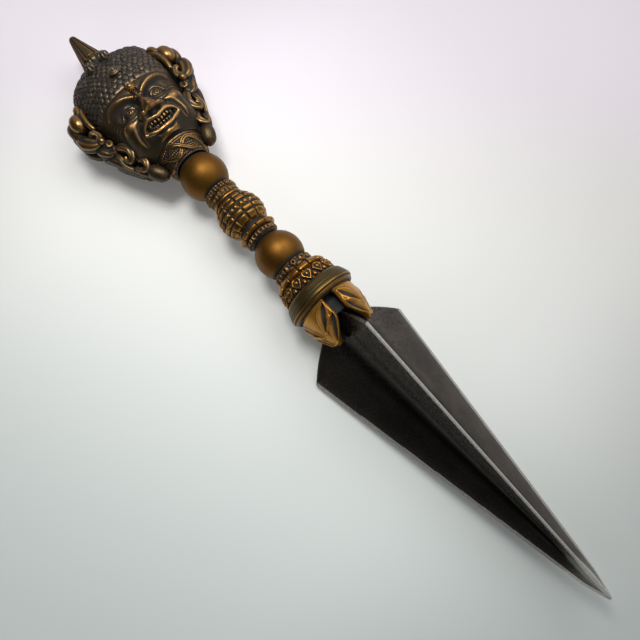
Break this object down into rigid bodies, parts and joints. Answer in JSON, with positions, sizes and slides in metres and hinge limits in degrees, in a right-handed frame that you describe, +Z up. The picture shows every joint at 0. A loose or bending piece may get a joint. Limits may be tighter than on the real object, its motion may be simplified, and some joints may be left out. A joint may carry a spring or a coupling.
{
  "type": "phurba ritual dagger",
  "caption": "Ritual dagger with a three-finned steel blade, a cast bronze grip of knobs and carved rings, and a guardian head with a scaled cap and a horn.",
  "frame": {"origin": "on the surface that the dagger lies on, under the middle of its length and of its width", "axes": "+X along the axis to the blade's point, +Z up from the surface, through the face and the upper fin"},
  "size_m": [0.38, 0.0738, 0.0515],
  "materials": {
    "bronze": "antique bronze, satin, rubbed bright on raised edges and dark in the hollows",
    "dark_bronze": "antique bronze left dark, with only its high spots rubbed",
    "blade_steel": "oxidised gunmetal steel, mottled and pitted, with ground edges",
    "fastener_steel": "plain turned steel, hidden inside"
  },
  "bodies": {
    "root": {"horn": "bronze", "cap_coil": "bronze", "forehead_bead": "bronze", "face": "bronze", "wing_left": "bronze", "wing_right": "bronze", "upper_knob": "bronze", "plain_ring": "bronze", "barrel_knob": "bronze", "segment_ring": "bronze", "lower_knob": "bronze", "brick_ring": "bronze", "guard": "bronze", "leaf_left": "bronze", "leaf_right": "bronze", "leaf_back": "bronze", "crown_boss": "dark_bronze", "crown_lobes": "dark_bronze", "cap": "dark_bronze", "back_hair": "dark_bronze", "head_core": "dark_bronze", "knot_collar": "dark_bronze", "beaded_ring": "dark_bronze", "rosette_ring": "dark_bronze", "toothed_ring": "dark_bronze", "drilled_ring": "dark_bronze", "petal_ring": "dark_bronze", "socket_core": "dark_bronze", "tang": "fastener_steel", "tang_washer": "fastener_steel", "tang_nut": "fastener_steel", "head_pin": "fastener_steel", "socket_pin": "fastener_steel", "blade": "blade_steel"}
  },
  "joints": []
}
